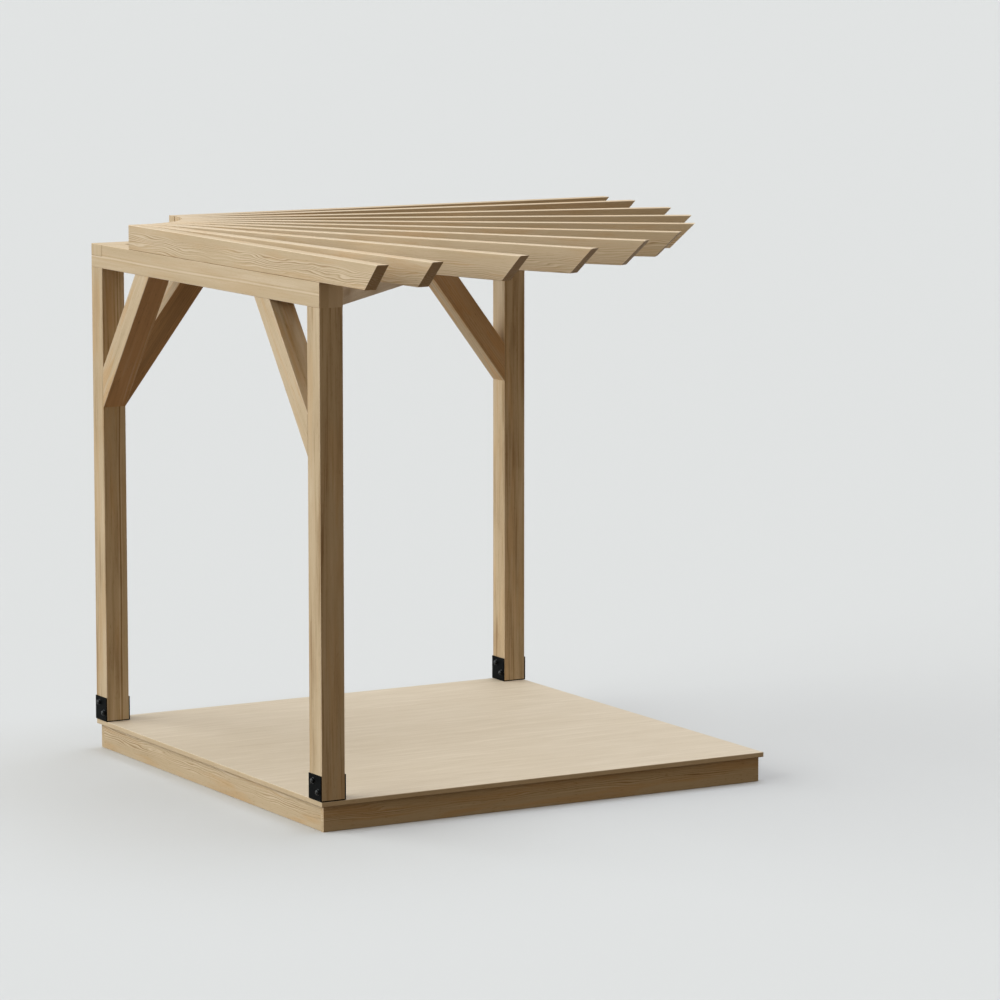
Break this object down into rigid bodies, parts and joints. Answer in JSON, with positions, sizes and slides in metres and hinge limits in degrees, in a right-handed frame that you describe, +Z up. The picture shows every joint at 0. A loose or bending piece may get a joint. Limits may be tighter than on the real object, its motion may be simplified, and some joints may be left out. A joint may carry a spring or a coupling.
{
  "type": "corner pergola with deck",
  "caption": "Free-standing timber corner pergola: posts in steel shoes on a square deck carry beams, braces and a fan of rafters that spreads from one corner over the deck.",
  "frame": {"origin": "middle of the square deck, on the ground", "axes": "+Z up; +X along the deck's front edge from the front post towards the open corner; +Y along the deck's left edge from the front post to the corner post"},
  "size_m": [2.9518, 2.9468, 2.64],
  "materials": {
    "deck": "planed pale softwood, bare and matt",
    "joists": "planed pale softwood, bare and matt",
    "posts": "planed pale softwood, bare and matt",
    "beams": "planed pale softwood, bare and matt",
    "braces": "planed pale softwood, bare and matt",
    "rafters": "planed pale softwood, bare and matt",
    "post_bases": "satin black coating"
  },
  "bodies": {
    "root": {"deck_top": "deck", "left_rim_joist": "joists", "right_rim_joist": "joists", "front_rim_joist": "joists", "back_rim_joist": "joists", "inner_joist_1": "joists", "inner_joist_2": "joists", "inner_joist_3": "joists", "inner_joist_4": "joists", "inner_joist_5": "joists", "corner_post_base": "post_bases", "front_post_base": "post_bases", "back_post_base": "post_bases", "corner_post": "posts", "front_post": "posts", "back_post": "posts", "side_beam": "beams", "back_beam": "beams", "diagonal_beam": "beams", "corner_side_brace": "braces", "front_brace": "braces", "corner_back_brace": "braces", "back_brace": "braces", "side_rafter": "rafters", "back_rafter": "rafters", "fan_rafter_01": "rafters", "fan_rafter_02": "rafters", "fan_rafter_03": "rafters", "fan_rafter_04": "rafters", "fan_rafter_05": "rafters", "fan_rafter_06": "rafters", "fan_rafter_07": "rafters", "fan_rafter_08": "rafters", "fan_rafter_09": "rafters"}
  },
  "joints": []
}
